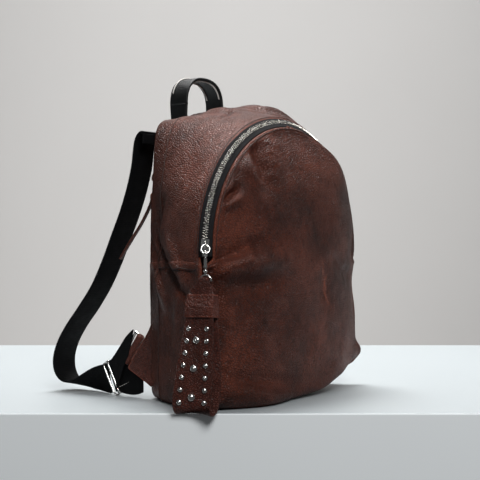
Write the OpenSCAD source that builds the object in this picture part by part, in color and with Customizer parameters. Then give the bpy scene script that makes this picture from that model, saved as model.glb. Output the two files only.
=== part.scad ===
/* [Bag] */
// Radius of the zip arch, measured at the middle of the chain
arch_r = 150; // [145:1:156]
// Height of the centre of the zip arch above the ground
arch_z = 173; // [165:1:180]
// Depth position of the zip arch, towards the front
front_y = -63; // [-68:1:-58]
// Half width of the bag at the ground
base_half = 155; // [152:1:160]
// Half width of the back panel at the ground
back_base_half = 106; // [98:1:112]
// Half width of the back panel at its shoulders
back_half = 112; // [104:1:118]
// Depth position of the back panel
back_y = 62; // [56:1:66]
// Height of the top edge of the back panel
back_top = 348; // [338:1:352]
// How far the front panel swells forward
front_swell = 32; // [22:1:36]
// Thickness of the leather with its backing
leather_t = 2.0; // [1.6:0.1:2.4]
// Thickness of the textile lining
lining_t = 0.6; // [0.4:0.1:0.8]

/* [Zip] */
// Height of the fold line of the front flap
flap_z = 197; // [194:1:204]
// Width of one visible half of the zip tape
tape_half = 5.6; // [5:0.1:6]
// Angle along the arch from the level of its centre to the closed slider
slider_angle = 2; // [1.5:0.1:2.6]

/* [Straps] */
// Width of the shoulder straps
strap_w = 36; // [32:1:38]
// Thickness of the shoulder straps
strap_t = 2.4; // [2:0.1:2.8]
// Width of the top handle
handle_w = 27; // [24:1:30]
// Height of the top of the handle above the ground
handle_top = 386; // [380:1:392]
// Half of the distance between the handle's ends
handle_half = 35; // [30:1:40]

/* [Wrist loop] */
// Width of the wrist loop
fob_w = 38; // [34:1:40]
// Length of the wrist loop's legs from the ring to the fold
fob_len = 137; // [128:1:138]
// Outer radius of the fold at the foot of the wrist loop
fob_fold_r = 7.5; // [7:0.1:8]

/* [Hidden] */
$fn = 48;
gap = 0.4;
seam_z = 159;
zip_end = 3;
slider_half_angle = 2.4;
yoke_z = 246;
shoulder = 3;
leather = "#5a3630";
black = "#1b1b1d";
silver = "#c9c9cc";
cloth = "#3a3438";

// ---- Vectors and curves ----
function mix(a, b, t) = a + (b - a) * t;
function unit(v) = v / norm(v);
function spow(v, e) = sign(v) * pow(abs(v), e);
function clamp(v, lo, hi) = min(max(v, lo), hi);
function curve_point(a, b, c, d, t) =
    0.5 * (2 * b + (c - a) * t + (2 * a - 5 * b + 4 * c - d) * t * t + (3 * b - a - 3 * c + d) * t * t * t);
// A smooth curve through the given points, with steps between each two
function smooth(p, steps) = let (n = len(p) - 1) concat(
    [for (i = [0:n - 1]) for (k = [0:steps - 1])
        curve_point(p[max(i - 1, 0)], p[i], p[i + 1], p[min(i + 2, n)], k / steps)],
    [p[n]]);

// ---- A thin wall that follows a grid of points ----
// Normal of the grid at one point, by the right hand from rows to columns
function grid_normal(g, r, c) =
    let (
        rows = len(g) - 1,
        cols = len(g[0]) - 1,
        along = g[min(r + 1, rows)][c] - g[max(r - 1, 0)][c],
        across = g[r][min(c + 1, cols)] - g[r][max(c - 1, 0)]
    )
    unit(cross(along, across));
function grid_offset(g, depth) =
    [for (r = [0:len(g) - 1]) [for (c = [0:len(g[0]) - 1]) g[r][c] - depth * grid_normal(g, r, c)]];
function two_triangles(q) = [[q[0], q[1], q[2]], [q[0], q[2], q[3]]];

// The wall lies under the grid, from depth to depth + thickness
module wall(g, thickness, depth = 0) {
    rows = len(g);
    cols = len(g[0]);
    top = grid_offset(g, depth);
    under = grid_offset(g, depth + thickness);
    n = rows * cols;
    points = concat([for (r = top) for (p = r) p], [for (r = under) for (p = r) p]);
    quads = concat(
        [for (r = [0:rows - 2]) for (c = [0:cols - 2]) let (i = r * cols + c) [i, i + 1, i + cols + 1, i + cols]],
        [for (r = [0:rows - 2]) for (c = [0:cols - 2]) let (i = n + r * cols + c) [i, i + cols, i + cols + 1, i + 1]],
        [for (r = [0:rows - 2]) let (i = r * cols) [n + i, i, i + cols, n + i + cols]],
        [for (r = [0:rows - 2]) let (i = r * cols + cols - 1) [n + i, n + i + cols, i + cols, i]],
        [for (c = [0:cols - 2]) [n + c, n + c + 1, c + 1, c]],
        [for (c = [0:cols - 2]) let (i = (rows - 1) * cols + c) [n + i, i, i + 1, n + i + 1]]
    );
    polyhedron(points = points, faces = [for (q = quads) each two_triangles(q)], convexity = 6);
}

// A flat strap along a path: each entry holds a centre point and the direction of the strap's width
module strap(stations, width, thickness) {
    g = [for (s = stations) [s[0] - s[1] * width / 2, s[0] + s[1] * width / 2]];
    wall(g, thickness, -thickness / 2);
}

module mirrored(side) {
    if (side < 0) children();
    else mirror([1, 0, 0]) children();
}

// ---- Outlines of the bag ----
// Front edge of the gusset: straight sides and a half circle on top, s from 0 to 1
function front_edge(s) =
    let (r = arch_r + 5)
    s < 0.3 ? [-mix(base_half, r, s / 0.3), front_y + 5.5, mix(3, arch_z, s / 0.3)]
    : s > 0.7 ? [mix(base_half, r, (1 - s) / 0.3), front_y + 5.5, mix(3, arch_z, (1 - s) / 0.3)]
    : let (a = (s - 0.3) / 0.4 * 180) [-r * cos(a), front_y + 5.5, arch_z + r * sin(a)];
// Edge of the back panel, narrower and with squarer shoulders
function back_edge(s) =
    s < 0.3 ? [-mix(back_base_half, back_half, s / 0.3), back_y, mix(3, arch_z, s / 0.3)]
    : s > 0.7 ? [mix(back_base_half, back_half, (1 - s) / 0.3), back_y, mix(3, arch_z, (1 - s) / 0.3)]
    : let (a = (s - 0.3) / 0.4 * 180, e = 2 / shoulder)
        [-back_half * spow(cos(a), e), back_y, arch_z + (back_top - arch_z) * spow(sin(a), e)];
// A point of the gusset, t from the front to the back
function gusset_point(s, t) =
    let (
        flat = mix(front_edge(s), back_edge(s), t),
        out = unit([flat[0], 0, max(flat[2] - 120, 0)])
    )
    flat + out * 5 * sin(180 * t);
function gusset_grid(s0, s1, rows, cols, t0 = 0, t1 = 1) =
    [for (i = [0:rows]) [for (j = [0:cols]) gusset_point(mix(s0, s1, i / rows), mix(t0, t1, j / cols))]];
// The outline parameter at which the side panel ends and the gusset begins
side_top_s = 0.3 * (seam_z - 3) / (arch_z - 3);

// Half width of the front panel, beside the zip and below it
function front_half(z) =
    z > arch_z ? sqrt(max(pow(arch_r - 5, 2) - pow(z - arch_z, 2), 9))
    : z > 165 ? arch_r - 5
    : mix(base_half - 4, arch_r - 5, clamp((z - 3) / 162, 0, 1)) + 4 * clamp((165 - z) / 15, 0, 1);
function swell(c, z) =
    front_swell * (1 - pow(abs(c), 2.4))
    * (z < flap_z ? mix(0.62, 1, sin(90 * clamp(z / flap_z, 0, 1)))
        : pow(cos(90 * clamp((z - flap_z) / (arch_z + arch_r - 4.5 - flap_z), 0, 1)), 0.8));
function front_point(c, z) = [c * front_half(z), front_y - 4.5 - swell(c, z), z];
function front_grid(levels, cols) =
    [for (z = levels) [for (j = [0:cols]) front_point(1 - 2 * j / cols, z)]];
lower_levels = [for (k = [0:12]) mix(3, flap_z - gap / 2, k / 12)];
flap_start = asin((flap_z + gap / 2 - arch_z) / (arch_r - 5));
flap_levels = [for (k = [0:14]) arch_z + (arch_r - 5) * sin(mix(flap_start, 88, k / 14))];

// Half width of the back panel at a height
function back_half_at(z) =
    z < arch_z ? mix(back_base_half, back_half, (z - 3) / (arch_z - 3))
    : back_half * pow(max(1 - pow((z - arch_z) / (back_top - arch_z), shoulder), 0.0004), 1 / shoulder);
function back_point(c, z) =
    [c * (back_half_at(z) - 2.5), back_y + 2.6 + 3 * (1 - c * c) * sin(180 * clamp(z / back_top, 0, 1)), z];
function back_grid(z0, z1, rows, cols) =
    [for (i = [0:rows]) [for (j = [0:cols]) back_point(-1 + 2 * j / cols, mix(z0, z1, i / rows))]];

// Outline of the base, with a front edge that swells with the front panel
base_outline = concat(
    [for (j = [0:16]) let (c = -1 + j / 8) [c * (base_half - 6), front_point(c, 3)[1] + 4]],
    [[back_base_half - 4, back_y - 3], [4 - back_base_half, back_y - 3]]);

// ---- Leather panels ----
module front_flap() {
    color(leather) wall(front_grid(flap_levels, 20), leather_t);
}
module front_lower() {
    color(leather) wall(front_grid(lower_levels, 20), leather_t);
}
module gusset() {
    color(leather) wall(gusset_grid(side_top_s + 0.002, 1 - side_top_s - 0.002, 40, 6), leather_t);
}
module side_panel(side) {
    color(leather)
        if (side < 0) wall(gusset_grid(0, side_top_s, 6, 6), leather_t);
        else wall(gusset_grid(1 - side_top_s, 1, 6, 6), leather_t);
}
module side_left() side_panel(-1);
module side_right() side_panel(1);
module base_panel() {
    color(leather) linear_extrude(leather_t) polygon(base_outline);
}
module back_yoke() {
    color(leather) wall(back_grid(yoke_z + 6.5, back_top - 1, 10, 12), leather_t);
}
module back_lower() {
    color(leather) wall(back_grid(3, yoke_z - 6.5, 8, 12), leather_t);
}

// ---- Stiffener, linings and pockets ----
module base_board() {
    front = front_y + 8;
    back = back_y - 12;
    color("#6b5a48") translate([0, 0, 2.6])
        linear_extrude(1.6) polygon([[-138, front], [138, front], [98, back], [-98, back]]);
}
module flap_lining() {
    levels = [for (k = [0:10]) arch_z + (arch_r - 5) * sin(mix(flap_start + 1, 84, k / 10))];
    color(cloth) wall(front_grid(levels, 14), lining_t, leather_t + 0.4);
}
module front_lining() {
    levels = [for (k = [0:8]) mix(9, flap_z - 2, k / 8)];
    color(cloth) wall(front_grid(levels, 14), lining_t, leather_t + 0.4);
}
module gusset_lining() {
    color(cloth) wall(gusset_grid(0.012, 0.988, 44, 4, 0.06, 0.94), lining_t, leather_t + 0.5);
}
module back_lining() {
    g = [for (i = [0:8]) [for (j = [0:8])
        let (z = mix(9, back_top - 14, i / 8)) [(j / 4 - 1) * (back_half_at(z) - 9), back_y - 4, z]]];
    color(cloth) wall(g, lining_t);
}
module inner_pocket() {
    color(cloth) translate([-80, back_y - 7, 130]) cube([160, 1.2, 95]);
}
module back_pocket_bag() {
    color(cloth) translate([-84, back_y - 2.6, 96]) cube([168, 1.6, 140]);
}

// ---- Zip ----
// A ring segment about the arch's centre: points are [across the chain, out of the chain's face]
module arch_segment(points, from, to) {
    k = sqrt(0.5);
    section = [for (p = points) [arch_r + k * (p[0] + p[1]), -front_y + k * (p[1] - p[0])]];
    translate([0, 0, arch_z])
        rotate([90, 0, 0])
            rotate([0, 0, from])
                rotate_extrude(angle = to - from, $fn = 120) polygon(section);
}
function band(a, b, lo, hi) = [[a, lo], [b, lo], [b, hi], [a, hi]];
flap_from = asin((flap_z - arch_z) / arch_r) + 0.25;
ends_to = flap_from - 0.5;
module zip_tape_outer() {
    color(black) arch_segment(band(3.2, tape_half, -0.4, 0.4), -zip_end, 180 + zip_end);
}
module zip_teeth_outer() {
    color(silver) arch_segment(band(0.8, 3.2, -1.2, 1.2), -zip_end, 180 + zip_end);
}
module zip_tape_flap() {
    color(black) arch_segment(band(-tape_half, -3.2, -0.4, 0.4), flap_from, 180 - flap_from);
}
module zip_teeth_flap() {
    color(silver) arch_segment(band(-3.2, -0.8, -1.2, 1.2), flap_from, 180 - flap_from);
}
module both_ends(points) {
    arch_segment(points, -zip_end, ends_to);
    arch_segment(points, 180 - ends_to, 180 + zip_end);
}
module zip_tape_ends() {
    color(black) both_ends(band(-tape_half, -3.2, -0.4, 0.4));
}
module zip_teeth_ends() {
    color(silver) both_ends(band(-3.2, -0.8, -1.2, 1.2));
}
module zip_stops() {
    color(silver) {
        arch_segment(band(-2.8, 2.8, 1.3, 2.1), -2.4, -1.6);
        arch_segment(band(-2.8, 2.8, 1.3, 2.1), 181.6, 182.4);
    }
}

// Middle of the closed slider, and a frame there whose X axis points out of the chain's face
slider_at = [-arch_r * cos(slider_angle), front_y, arch_z + arch_r * sin(slider_angle)];
staple_x = 3.4;
staple_r = 3.6;
staple_wire = 0.8;
ring_wire = 1.0;
ring_r = 4.6;
ring_lean = 20;
thread_x = staple_x + staple_r - staple_wire - 0.3 - ring_wire;
module slider_frame() {
    translate(slider_at) rotate([0, 0, 225]) children();
}
// A wire ring segment about the Y axis, angle 0 along +X, turning towards +Z
module wire_arc(radius, wire, from, to) {
    rotate([90, 0, 0]) rotate([0, 0, from]) rotate_extrude(angle = to - from) translate([radius, 0]) circle(wire);
}
module zip_slider() {
    mid = 180 - slider_angle;
    color(silver) {
        arch_segment(band(-4.4, 4.4, 1.7, 3.6), mid - slider_half_angle, mid + slider_half_angle);
        arch_segment(band(-4.4, 4.4, -3.4, -1.7), mid - slider_half_angle, mid + slider_half_angle);
        arch_segment(band(-0.5, 0.5, -1.8, 1.8), mid - slider_half_angle + 0.6, mid - 0.6);
        slider_frame() translate([staple_x, 0, 0]) wire_arc(staple_r, staple_wire, -90, 90);
    }
}
// The hanging frame of the ring: origin where it threads the slider's staple, -Z towards the clasp
module ring_frame() {
    slider_frame() translate([thread_x, 0, 0]) rotate([0, -ring_lean, 0]) children();
}
module slider_ring() {
    color(silver)
        ring_frame() translate([0, 0, -ring_r])
            rotate([0, 90, 0]) rotate_extrude() translate([ring_r, 0]) circle(ring_wire);
}

// Clasp, hanging straight down from the lowest point of the ring
hook_r = 3.5;
hook_wire = 0.95;
hook_x = thread_x + 2 * ring_r * sin(ring_lean);
hook_z = -2 * ring_r * cos(ring_lean) - 1.2;
gate_from = -38;
gate_to = 36;
gate_top = 1.85;
module hook_frame() {
    slider_frame() translate([hook_x, 0, hook_z]) children();
}
module clasp_hook() {
    color(silver) hook_frame() {
        difference() {
            wire_arc(hook_r, hook_wire, gate_to - 4, 360 + gate_from - 9);
            translate([0.5, -2, 0]) cube([5, 4, gate_top + 0.3]);
        }
        translate([0, 0, -14]) cylinder(r = 1.8, h = 10.2);
        translate([0, 0, -14]) cylinder(r = 2.5, h = 1.4);
    }
}
module clasp_trigger() {
    color(silver) hook_frame() {
        difference() {
            wire_arc(hook_r, hook_wire, gate_from, gate_to);
            translate([0.5, -2, gate_top]) cube([5, 4, 3]);
        }
        translate([hook_r + 0.7, -0.6, -1.2]) cube([2, 1.2, 1.6]);
    }
}
// Swivel and dee ring, under the clasp
swivel_z = hook_z - 14;
bar_z = swivel_z - 14.5;
dee_r = 6.4;
dee_wire = 1.1;
fob_turn = 200;
fob_lean = 6;
module swivel_stem() {
    color(silver) slider_frame() translate([hook_x, 0, 0]) {
        translate([0, 0, swivel_z - 1.9]) cylinder(r = 1.1, h = 1.6);
        translate([0, 0, swivel_z - 3.6]) sphere(r = 2.3);
    }
}
module fob_frame() {
    at = slider_at + [hook_x * cos(225), hook_x * sin(225), bar_z];
    translate(at) rotate([0, 0, fob_turn]) children();
}
module dee_ring() {
    color(silver) fob_frame() {
        rotate([0, 0, 90]) wire_arc(dee_r, dee_wire, 0, 180);
        rotate([90, 0, 0]) translate([0, 0, -dee_r]) cylinder(r = dee_wire, h = 2 * dee_r);
        translate([0, 0, dee_r]) cylinder(r = 1.5, h = swivel_z - bar_z - 6 - dee_r);
    }
}

// ---- Wrist loop ----
module leaning() {
    fob_frame() rotate([0, -fob_lean, 0]) children();
}
tab_r = 3.2;
module fob_tab() {
    color(leather) leaning() {
        difference() {
            rotate([90, 0, 0]) translate([0, 0, -4]) cylinder(r = tab_r, h = 8);
            rotate([90, 0, 0]) translate([0, 0, -5]) cylinder(r = dee_wire + 0.15, h = 10);
        }
        rotate([90, 0, 90]) translate([0, 0, -1.6])
            linear_extrude(3.2) polygon([[-4, -2.4], [4, -2.4], [9, -5], [14.5, -16], [-14.5, -16], [-9, -5]]);
    }
}
keeper_top = -16.3;
keeper_h = 23;
leg_gap = 2 * fob_fold_r - 5;
module fob_keeper() {
    color(leather) leaning()
        translate([-4, -16, keeper_top - keeper_h]) cube([8, 32, keeper_h]);
}
module fob_loop() {
    top = keeper_top - keeper_h - 0.3;
    foot = -fob_len + fob_fold_r;
    color(leather) leaning() {
        for (side = [0, 1]) mirror([side, 0, 0])
            translate([leg_gap / 2, -fob_w / 2, foot]) cube([fob_fold_r - leg_gap / 2, fob_w, top - foot]);
        translate([0, 0, foot]) rotate([90, 0, 0]) translate([0, 0, -fob_w / 2]) rotate([0, 0, 180])
            rotate_extrude_half(fob_fold_r, leg_gap / 2, fob_w);
        translate([-leg_gap / 2, -fob_w / 2, top - 3]) cube([leg_gap, fob_w, 3]);
    }
}
// Half of a tube, on the +Y side
module rotate_extrude_half(outer, inner, length) {
    rotate_extrude(angle = 180) translate([inner, 0]) square([outer - inner, length]);
}
module stud(radius, y, z) {
    height = 0.36 * 2 * radius;
    ball = (radius * radius + height * height) / (2 * height);
    translate([fob_fold_r + 0.02, y, z]) rotate([0, 90, 0])
        intersection() {
            translate([0, 0, height - ball]) sphere(r = ball);
            cylinder(r = radius, h = height);
        }
}
stud_top = keeper_top - keeper_h - 11;
stud_step = 12.8;
module small_studs() {
    color(silver) leaning()
        for (i = [0:6]) for (side = [-1, 1]) stud(2.9, side * 10.8, stud_top - i * stud_step);
}
module large_studs() {
    color(silver) leaning()
        for (i = [0:2]) stud(4.2, 0, stud_top - (1 + 2.4 * i) * stud_step);
}

// ---- Top handle ----
handle_y = 70;
handle_foot = 350;
module handle() {
    rise = handle_top - handle_foot - 1.75;
    stations = [for (i = [0:24]) let (a = 180 * i / 24)
        [[-handle_half * spow(cos(a), 0.8), handle_y, handle_foot + rise * spow(sin(a), 0.8)], [0, 1, 0]]];
    color(black) strap(stations, handle_w, 3.5);
}
module handle_anchors() {
    color(black) for (side = [-1, 1])
        translate([side * handle_half - 6, back_y + 6.4, back_top - 30]) cube([12, 2.4, 26]);
}

// ---- Shoulder straps ----
strap_x = -86;
// Centre line of a strap from the shoulder down to its adjuster: [x, y, z, turn of its width in degrees]
strap_route = [
    [-86, 80, 296, 0], [-86, 85, 272, 0], [-87, 92, 245, 0], [-88, 102, 218, 0], [-90, 114, 190, 0],
    [-92, 127, 160, 0], [-95, 142, 130, 0], [-98, 160, 104, 2], [-101, 179, 80, 2], [-103, 192, 59, 2],
    [-104, 198, 39, 3], [-105, 193, 21, 6], [-105.5, 180, 12, 14], [-106, 165, 14, 40], [-106, 155.5, 19, 68],
    [-106, 149, 23, 88], [-106, 145.4, 23.5, 90]
];
function strap_station(p) = [[p[0], p[1], p[2]], [cos(p[3]), 0, -sin(p[3])]];
module strap_body(side) {
    stations = [for (p = smooth(strap_route, 3)) strap_station(p)];
    color(black) mirrored(side) {
        strap(stations, strap_w, strap_t);
    }
}
module strap_left() strap_body(-1);
module strap_right() strap_body(1);
module strap_root(side) {
    stations = [[[strap_x, 68.5, 309], [1, 0, 0]], [[strap_x, 70, 306], [1, 0, 0]], [[strap_x, 72, 302.5], [1, 0, 0]]];
    color(black) mirrored(side) strap(stations, strap_w, strap_t);
}
module strap_root_left() strap_root(-1);
module strap_root_right() strap_root(1);
// Webbing between the corner ring and the adjuster
web_z = 23.5;
web_x = -106;
module strap_end(side) {
    color(black) mirrored(side) {
        translate([web_x - strap_t / 2, 106, web_z - strap_w / 2]) cube([strap_t, 38.7, strap_w]);
        translate([web_x - strap_t / 2, 0, 0]) rotate([90, 0, 90])
            linear_extrude(strap_t) polygon([[106, 5.5], [106, 41.5], [81, 76], [98.5, 47]]);
    }
}
module strap_end_left() strap_end(-1);
module strap_end_right() strap_end(1);
// Adjuster: end bars on one side of the webbing and the middle bar on the other
glide_y = 119;
bar_r = 1.6;
glide_reach = strap_w / 2 + 2.6;
module glide(side) {
    off = strap_t / 2 + 0.5 + bar_r;
    color(silver) mirrored(side) translate([web_x, glide_y, web_z]) {
        for (y = [-11, 11]) translate([off, y, -glide_reach]) cylinder(r = bar_r, h = 2 * glide_reach);
        translate([-off, 0, -glide_reach]) cylinder(r = bar_r, h = 2 * glide_reach);
        for (end = [-1, 1])
            translate([-off - bar_r, -11 - bar_r, end * (glide_reach - 0.7) - 0.8])
                cube([2 * (off + bar_r), 2 * (11 + bar_r), 1.6]);
    }
}
module glide_left() glide(-1);
module glide_right() glide(1);

// Corner ring, its leather roll and the triangle that holds them
ring_at = [web_x, 79, 55];
ring_tilt = 31;
ring_half = 20;
ring_bar = 1.5;
ring_wide = 9;
module corner_frame(side) {
    mirrored(side) translate(ring_at) rotate([ring_tilt, 0, 0]) children();
}
module ring(side) {
    color(silver) corner_frame(side) {
        for (y = [0, ring_wide]) translate([0, y, -ring_half]) cylinder(r = ring_bar, h = 2 * ring_half);
        for (end = [-1, 1]) translate([0, 0, end * ring_half]) rotate([-90, 0, 0]) cylinder(r = ring_bar, h = ring_wide);
        for (y = [0, ring_wide]) for (end = [-1, 1]) translate([0, y, end * ring_half]) sphere(r = ring_bar);
    }
}
module ring_left() ring(-1);
module ring_right() ring(1);
module tab_roll(side) {
    color(leather) corner_frame(side) difference() {
        translate([0, 0, -17]) cylinder(r = 4, h = 34);
        translate([0, 0, -18]) cylinder(r = ring_bar + 0.3, h = 36);
    }
}
module tab_roll_left() tab_roll(-1);
module tab_roll_right() tab_roll(1);
module tab(side) {
    color(leather) mirrored(side) translate([web_x - 1.8, 0, 0]) rotate([90, 0, 90])
        linear_extrude(3.6) polygon([[67, 10], [67, 66], [82.5, 39], [84, 33], [79, 26]]);
}
module tab_left() tab(-1);
module tab_right() tab(1);

// ---- Back pocket zip ----
back_zip_half = 88;
module back_zip_tape() {
    color(black) for (side = [-1, 1])
        translate([-back_zip_half, back_y + 4, yoke_z + side * 4.5 - 1.7]) cube([2 * back_zip_half, 0.8, 3.4]);
}
module back_zip_teeth() {
    color(silver) for (side = [-1, 1])
        translate([-back_zip_half, back_y + 3.4, yoke_z + side * 1.7 - 0.9]) cube([2 * back_zip_half, 2, 1.8]);
}
back_slider_x = -80;
module back_slider() {
    color(silver) translate([back_slider_x, back_y + 4.4, yoke_z]) {
        translate([-4, 1.5, -3.4]) cube([8, 1.3, 6.8]);
        translate([-4, -2.8, -3.4]) cube([8, 1.3, 6.8]);
        translate([-3, -1.6, -0.4]) cube([3, 3.2, 0.8]);
        translate([-0.6, 2.6, -3]) cube([1.2, 2.6, 1.2]);
        translate([-0.6, 2.6, 1.8]) cube([1.2, 2.6, 1.2]);
        translate([-0.6, 4.2, -3]) cube([1.2, 1.2, 6]);
    }
}
pull_route = [[-80, 70.6, 242], [-83, 74, 226], [-88, 83, 205], [-95, 94, 184], [-102, 105, 162]];
module back_pull() {
    stations = [for (p = smooth(pull_route, 3)) [p, [1, 0, 0]]];
    color(leather) strap(stations, 6.5, 2.2);
}

front_flap();
front_lower();
gusset();
side_left();
side_right();
base_panel();
back_yoke();
back_lower();
base_board();
flap_lining();
front_lining();
gusset_lining();
back_lining();
inner_pocket();
back_pocket_bag();
zip_tape_outer();
zip_teeth_outer();
zip_tape_flap();
zip_teeth_flap();
zip_tape_ends();
zip_teeth_ends();
zip_stops();
zip_slider();
slider_ring();
clasp_hook();
clasp_trigger();
swivel_stem();
dee_ring();
fob_tab();
fob_keeper();
fob_loop();
small_studs();
large_studs();
handle();
handle_anchors();
strap_root_left();
strap_left();
strap_end_left();
glide_left();
ring_left();
tab_left();
tab_roll_left();
strap_root_right();
strap_right();
strap_end_right();
glide_right();
ring_right();
tab_right();
tab_roll_right();
back_zip_tape();
back_zip_teeth();
back_slider();
back_pull();
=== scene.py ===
import math
import random

import bpy
import numpy as np
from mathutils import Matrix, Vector


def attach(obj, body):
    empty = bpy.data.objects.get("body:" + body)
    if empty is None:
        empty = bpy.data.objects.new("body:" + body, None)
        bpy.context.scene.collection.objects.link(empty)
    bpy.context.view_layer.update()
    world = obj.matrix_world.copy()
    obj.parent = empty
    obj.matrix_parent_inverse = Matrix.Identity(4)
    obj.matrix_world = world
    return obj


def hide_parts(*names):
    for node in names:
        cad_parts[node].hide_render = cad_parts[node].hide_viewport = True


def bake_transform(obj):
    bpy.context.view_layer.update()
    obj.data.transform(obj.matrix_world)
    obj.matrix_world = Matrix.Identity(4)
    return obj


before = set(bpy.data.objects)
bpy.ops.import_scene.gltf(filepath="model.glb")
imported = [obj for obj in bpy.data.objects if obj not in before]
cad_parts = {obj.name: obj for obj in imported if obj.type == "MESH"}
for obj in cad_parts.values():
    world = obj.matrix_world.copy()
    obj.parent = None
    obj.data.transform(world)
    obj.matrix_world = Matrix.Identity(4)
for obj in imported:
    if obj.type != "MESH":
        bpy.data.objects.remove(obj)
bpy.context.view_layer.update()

# ---------------------------------------------------------------- sizes, in metres
ARCH_R, ARCH_Z, FRONT_Y = 0.150, 0.173, -0.063    # the zip's arch, as in the frame
ZIP_END = 0.165                                   # height of the zip's lower ends
FLAP_Z = 0.197                                    # fold line of the front flap
SEAM_Z = 0.159                                    # level seam across the sides
YOKE_Z = 0.246                                    # back pocket zip
BASE_HALF, BACK_BASE_HALF, BACK_HALF = 0.155, 0.106, 0.109
BACK_Y, SIDE_BACK_Y, BACK_TOP, SHOULDER = 0.062, 0.051, 0.348, 2.6
SWELL = 0.032
EDGE, OUTER_EDGE = 0.0062, 0.0036                 # leather edges from the middle of the zip
HIDE = 0.0022                                     # leather thickness
SIDE_TOP_S = 0.3 * SEAM_Z / ARCH_Z

# Soft lumps and hollows of the standing bag: centre, reach and push, in centimetres
LUMPS = [
    ((-3.6, 6.0, 34.5), (3.6, 7.0, 5.0), (0.0, 0.0, -1.2)),     # dip under the handle
    ((-7.6, 6.0, 31.5), (3.0, 6.0, 4.0), (-0.6, 0.0, 0.7)),     # left shoulder
    ((4.8, 0.5, 33.0), (4.6, 4.2, 5.0), (0.0, 0.0, 1.35)),      # puff behind the zip's crown
    ((1.4, 1.0, 34.4), (1.5, 4.0, 3.0), (0.0, 0.0, -0.55)),     # dip between the puff and the handle
    ((-1.6, 2.6, 34.4), (1.3, 3.0, 3.0), (0.0, 0.0, 0.35)),
    ((10.5, -7.5, 28.5), (5.5, 4.0, 5.5), (0.8, -0.2, 0.8)),    # right shoulder of the flap
    ((14.6, -6.6, 13.2), (5.0, 6.0, 3.2), (-0.40, 0.3, 0.0)),   # pinch at the right end of the zip
    ((16.0, -6.5, 0.0), (6.8, 9.0, 8.0), (0.0, 0.1, 3.0)),      # right front corner lifts off the ground
    ((8.0, -7.5, 0.0), (4.0, 4.0, 3.0), (0.0, 0.0, 0.5)),
    ((16.0, -6.5, 1.6), (2.5, 3.0, 1.4), (1.0, -0.4, 0.0)),     # the corner's ear
    ((-10.0, -8.5, 1.0), (8.0, 4.0, 4.0), (0.0, -0.9, 0.0)),    # low bulge at the front left
]


def mix(a, b, t):
    return a + (b - a) * t


def smooth(x, lo, hi):
    t = np.clip((np.asarray(x, float) - lo) / (hi - lo), 0.0, 1.0)
    return t * t * (3 - 2 * t)


def at_steps(points, at):
    """Rows of a list of points, taken at fractional places in the list."""
    points = np.asarray(points, float)
    return np.stack([np.interp(at, np.arange(len(points)), points[:, k]) for k in range(points.shape[1])], -1)


def power(v, e):
    return np.sign(v) * np.abs(v) ** e


def flip(faces):
    return [face[::-1] for face in faces]


def circle(radius, count):
    """Outline of a round section."""
    return [(radius * math.cos(a), radius * math.sin(a)) for a in np.linspace(0, 2 * math.pi, count, endpoint=False)]


def unit(v):
    v = np.asarray(v, float)
    return v / np.maximum(np.linalg.norm(v, axis=-1, keepdims=True), 1e-12)


# ---------------------------------------------------------------- outlines of the bag
def arch_mask(p):
    """0 on the zip's arch, where nothing may move, and 1 away from it."""
    away = np.hypot(np.hypot(p[..., 0], p[..., 2] - ARCH_Z) - ARCH_R, p[..., 1] - FRONT_Y)
    end = np.hypot(np.abs(p[..., 0]) - ARCH_R, p[..., 1] - FRONT_Y)
    end = np.hypot(end, np.minimum(p[..., 2] - ZIP_END, 0))
    return np.where(p[..., 2] > ZIP_END, smooth(away, 0.008, 0.022), smooth(end, 0.006, 0.014))


def sculpt(p):
    push = np.zeros_like(p)
    for centre, reach, move in LUMPS:
        d = (p - np.array(centre) / 100) / (np.array(reach) / 100)
        push += np.exp(-(d ** 2).sum(-1))[..., None] * np.array(move) / 100
    return p + push * arch_mask(p)[..., None]


def tuck(z, r=0.012):
    """How far the walls curl in at the ground."""
    return r * (1 - np.sqrt(np.maximum(0, 1 - np.clip(1 - z / r, 0, 1) ** 2)))


def zip_open(z):
    """1 beside the zip, 0 below its end, where the panels meet in a seam."""
    return smooth(z, ZIP_END - 0.012, ZIP_END)


def outline(s, low_half, high_half, spring_r, top, roundness):
    """An arch with straight sides: x and z for s from 0 to 1."""
    s = np.asarray(s, float)
    a = np.clip((s - 0.3) / 0.4, 0, 1) * np.pi
    low = np.where(s < 0.5, s, 1 - s) / 0.3
    e = 2 / roundness
    side = np.sign(s - 0.5) * mix(low_half, high_half, np.clip(low, 0, 1))
    x = np.where(low < 1, side, -spring_r * power(np.cos(a), e))
    z = np.where(low < 1, ARCH_Z * np.clip(low, 0, 1), ARCH_Z + (top - ARCH_Z) * np.abs(np.sin(a)) ** e)
    return x, z


def front_edge(s):
    r = ARCH_R + OUTER_EDGE
    x, z = outline(s, BASE_HALF, r, r, ARCH_Z + r, 2)
    x = x + np.sign(x) * (ARCH_R + 0.005 - r) * (1 - zip_open(z))
    return np.stack([x, FRONT_Y + mix(0.0005, OUTER_EDGE, zip_open(z)), z], -1)


def back_edge(s):
    x, z = outline(s, BACK_BASE_HALF, BACK_HALF, BACK_HALF, BACK_TOP, SHOULDER)
    return np.stack([x, mix(SIDE_BACK_Y, BACK_Y, smooth(z, 0.24, 0.335)), z], -1)


def gusset(s, t):
    s, t = np.broadcast_arrays(np.asarray(s, float), np.asarray(t, float))
    p = mix(front_edge(s), back_edge(s), t[..., None])
    out = unit(np.stack([p[..., 0], 0 * s, np.maximum(p[..., 2] - 0.12, 0)], -1))
    p = p + out * (0.005 * np.sin(np.pi * t))[..., None]
    p[..., 0] -= np.sign(p[..., 0]) * tuck(p[..., 2])
    return p


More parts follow.
